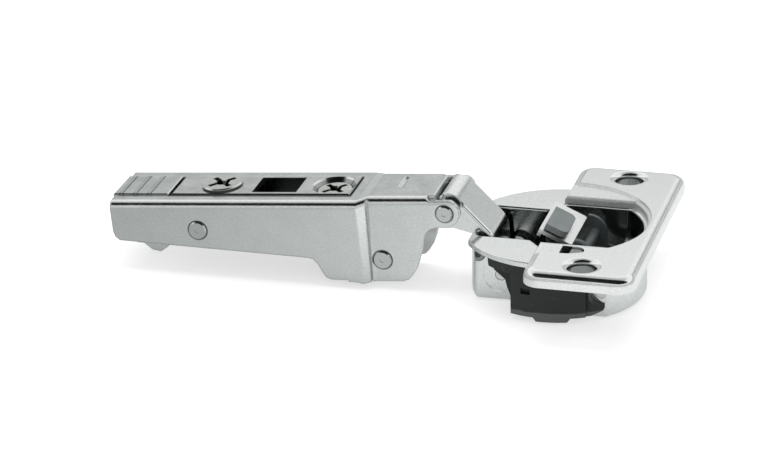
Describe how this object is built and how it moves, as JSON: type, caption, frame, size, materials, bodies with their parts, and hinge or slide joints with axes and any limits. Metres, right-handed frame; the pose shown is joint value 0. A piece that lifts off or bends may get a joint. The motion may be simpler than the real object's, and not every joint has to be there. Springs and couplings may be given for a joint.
{
  "type": "concealed cup hinge",
  "caption": "Concealed cabinet hinge with a drilled-in cup, screw-on flange, folding lever linkage, soft-close damper and a long clip-on arm with depth and side adjustment.",
  "frame": {"origin": "middle of the two flange screw holes, on the door's face under the flange plate", "axes": "+Z out of the cup, normal to the flange; +Y along the line of the two flange screws, away from the damper; +X from the arm towards the far edge of the flange, the hinge standing open at its stop"},
  "size_m": [0.1124, 0.056, 0.0207],
  "materials": {
    "nickel_steel": "nickel-plated pressed steel, smooth",
    "bright_steel": "bright nickel-plated sheet",
    "lever_steel": "nickel-plated thick sheet, satin",
    "pin_steel": "riveted steel pin, plated",
    "screw_steel": "plated screw head",
    "spring_steel": "spring wire",
    "inner_steel": "oiled inner sheet, darker",
    "black_plastic": "black moulded plastic, fine texture",
    "dark_plastic": "dark grey moulded plastic",
    "grey_plastic": "grey moulded plastic"
  },
  "bodies": {
    "cup_body": {"cup": "nickel_steel", "flange_plate": "nickel_steel", "inner_cup_pin": "pin_steel", "outer_cup_pin": "pin_steel", "damper_lever_pin": "pin_steel", "closing_spring": "spring_steel", "damper_housing": "black_plastic"},
    "damper_piston": {"damper_slider": "grey_plastic"},
    "damper_arms": {"damper_lever": "dark_plastic", "switch_bracket": "bright_steel"},
    "switch_block": {"damper_switch": "grey_plastic"},
    "outer_link": {"outer_lever": "lever_steel"},
    "inner_link": {"inner_lever": "lever_steel"},
    "arm": {"hinge_arm": "nickel_steel", "front_pin": "pin_steel", "lower_pin": "pin_steel", "rear_pin": "pin_steel", "side_adjust_nut": "pin_steel"},
    "adjuster": {"adjuster_channel": "bright_steel"},
    "depth_cam": {"depth_cam_screw": "screw_steel"},
    "side_screw": {"side_adjust_screw": "screw_steel"},
    "clip": {"clip_slide": "inner_steel", "release_pin": "pin_steel", "release_spring": "spring_steel"},
    "release": {"release_lever": "nickel_steel"}
  },
  "joints": [
    {"name": "fold", "type": "hinge", "parent": "cup_body", "child": "outer_link", "pos_m": [-0.0195, 0, -0.00695], "axis": [0, 1, 0], "range_deg": [0, 89.3]},
    {"name": "arm_turn", "type": "hinge", "parent": "outer_link", "child": "arm", "pos_m": [-0.03109, 0, 0.00472], "axis": [0, 1, 0], "range_deg": [0, 5.8]},
    {"name": "inner_turn", "type": "hinge", "parent": "cup_body", "child": "inner_link", "pos_m": [-0.02405, 0, -0.00265], "axis": [0, 1, 0], "range_deg": [0, 116]},
    {"name": "damper_press", "type": "hinge", "parent": "cup_body", "child": "damper_arms", "pos_m": [0.0017, 0, -0.00695], "axis": [0, 1, 0], "range_deg": [-44.1, 0]},
    {"name": "damper_stroke", "type": "slide", "parent": "cup_body", "child": "damper_piston", "axis": [1, 0, 0], "range_m": [-0.0016, 0]},
    {"name": "switch_slide", "type": "slide", "parent": "damper_arms", "child": "switch_block", "axis": [0.9135, 0, -0.4067], "range_m": [0, 0.0012]},
    {"name": "side_tilt", "type": "hinge", "parent": "arm", "child": "adjuster", "pos_m": [-0.08225, 0, -0.0027], "axis": [0, 1, 0], "range_deg": [-1.2, 1.2]},
    {"name": "side_screw_turn", "type": "hinge", "parent": "adjuster", "child": "side_screw", "pos_m": [-0.0555, 0, 0.00266], "axis": [-0.084, 0, 0.9965], "range_deg": [-721, 721]},
    {"name": "depth_cam_turn", "type": "hinge", "parent": "adjuster", "child": "depth_cam", "pos_m": [-0.07922, 0, 0.00066], "axis": [-0.084, 0, 0.9965], "range_deg": [0, 120.5]},
    {"name": "clip_travel", "type": "slide", "parent": "adjuster", "child": "clip", "axis": [0.9965, 0, 0.084], "range_m": [-0.0026, 0]},
    {"name": "release_turn", "type": "hinge", "parent": "clip", "child": "release", "pos_m": [-0.08712, 0, -0.00201], "axis": [0, 1, 0], "range_deg": [0, 6], "stiffness_Nm_per_rad": 0.05, "springref_deg": -5.73}
  ],
  "couplings": [
    {"joint": "arm_turn", "follows": "fold", "ratio": 0.06383},
    {"joint": "inner_turn", "follows": "fold", "ratio": 1.2979},
    {"joint": "damper_press", "follows": "fold", "ratio": -0.49272},
    {"joint": "damper_stroke", "follows": "fold", "m_per_rad": -0.0010266},
    {"joint": "side_screw_turn", "follows": "side_tilt", "ratio": 600},
    {"joint": "depth_cam_turn", "follows": "clip_travel", "rad_per_m": -805.54}
  ]
}
